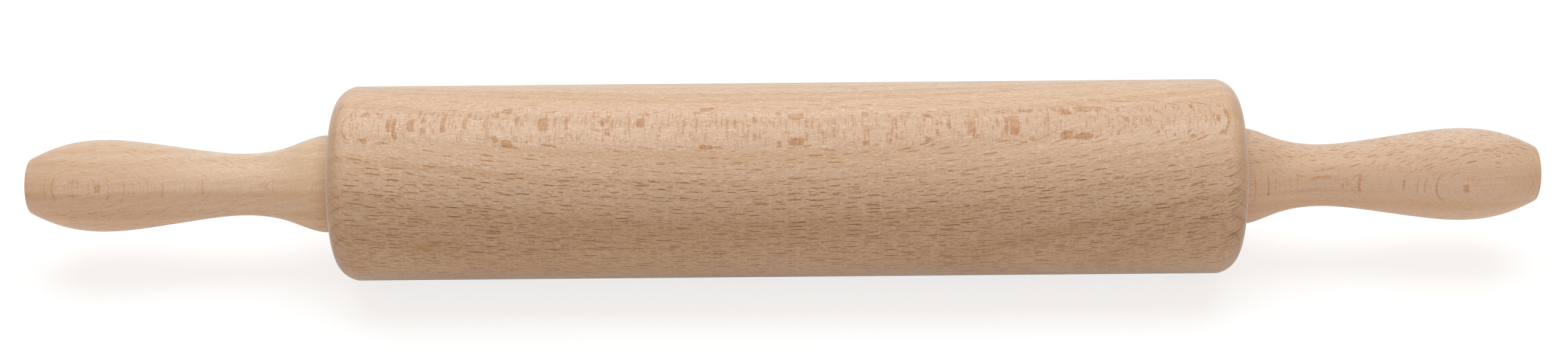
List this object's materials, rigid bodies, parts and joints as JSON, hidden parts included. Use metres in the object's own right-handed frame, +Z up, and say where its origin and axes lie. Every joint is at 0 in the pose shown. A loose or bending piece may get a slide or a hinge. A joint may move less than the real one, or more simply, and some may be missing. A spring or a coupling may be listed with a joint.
{
  "type": "rolling pin",
  "caption": "Beech rolling pin: a cylindrical barrel with rounded ends revolves on a hidden steel rod between two turned, waisted handles.",
  "frame": {"origin": "on the pin's axis, midway between the outer ends of the two handles, which is the centre of its bounding box", "axes": "+X along the pin's axis towards the handle at the picture's right, +Z up, +Y away from the picture's camera"},
  "size_m": [0.43, 0.0556, 0.0556],
  "materials": {
    "barrel_beech": "bare turned and sanded beech, satin, with ray flecks along the grain and a band of ray flakes",
    "handle_beech": "bare turned and sanded beech, satin, with faint growth rings and a few ray flecks",
    "rod_steel": "bright drawn steel bar, straight-knurled at the ends",
    "bush_nylon": "moulded natural nylon, matt",
    "washer_nylon": "stamped nylon sheet, matt"
  },
  "bodies": {
    "handles": {"left_handle": "handle_beech", "right_handle": "handle_beech", "axle_rod": "rod_steel"},
    "washers": {"left_washer": "washer_nylon", "right_washer": "washer_nylon"},
    "barrel": {"roller_barrel": "barrel_beech", "left_bush": "bush_nylon", "right_bush": "bush_nylon"}
  },
  "joints": [
    {"name": "end_float", "type": "slide", "parent": "handles", "child": "washers", "axis": [1, 0, 0], "range_m": [-0.0005, 0.0005]},
    {"name": "barrel_spin", "type": "hinge", "parent": "washers", "child": "barrel", "pos_m": [0.00118, 0, 0], "axis": [1, 0, 0], "continuous": true}
  ]
}
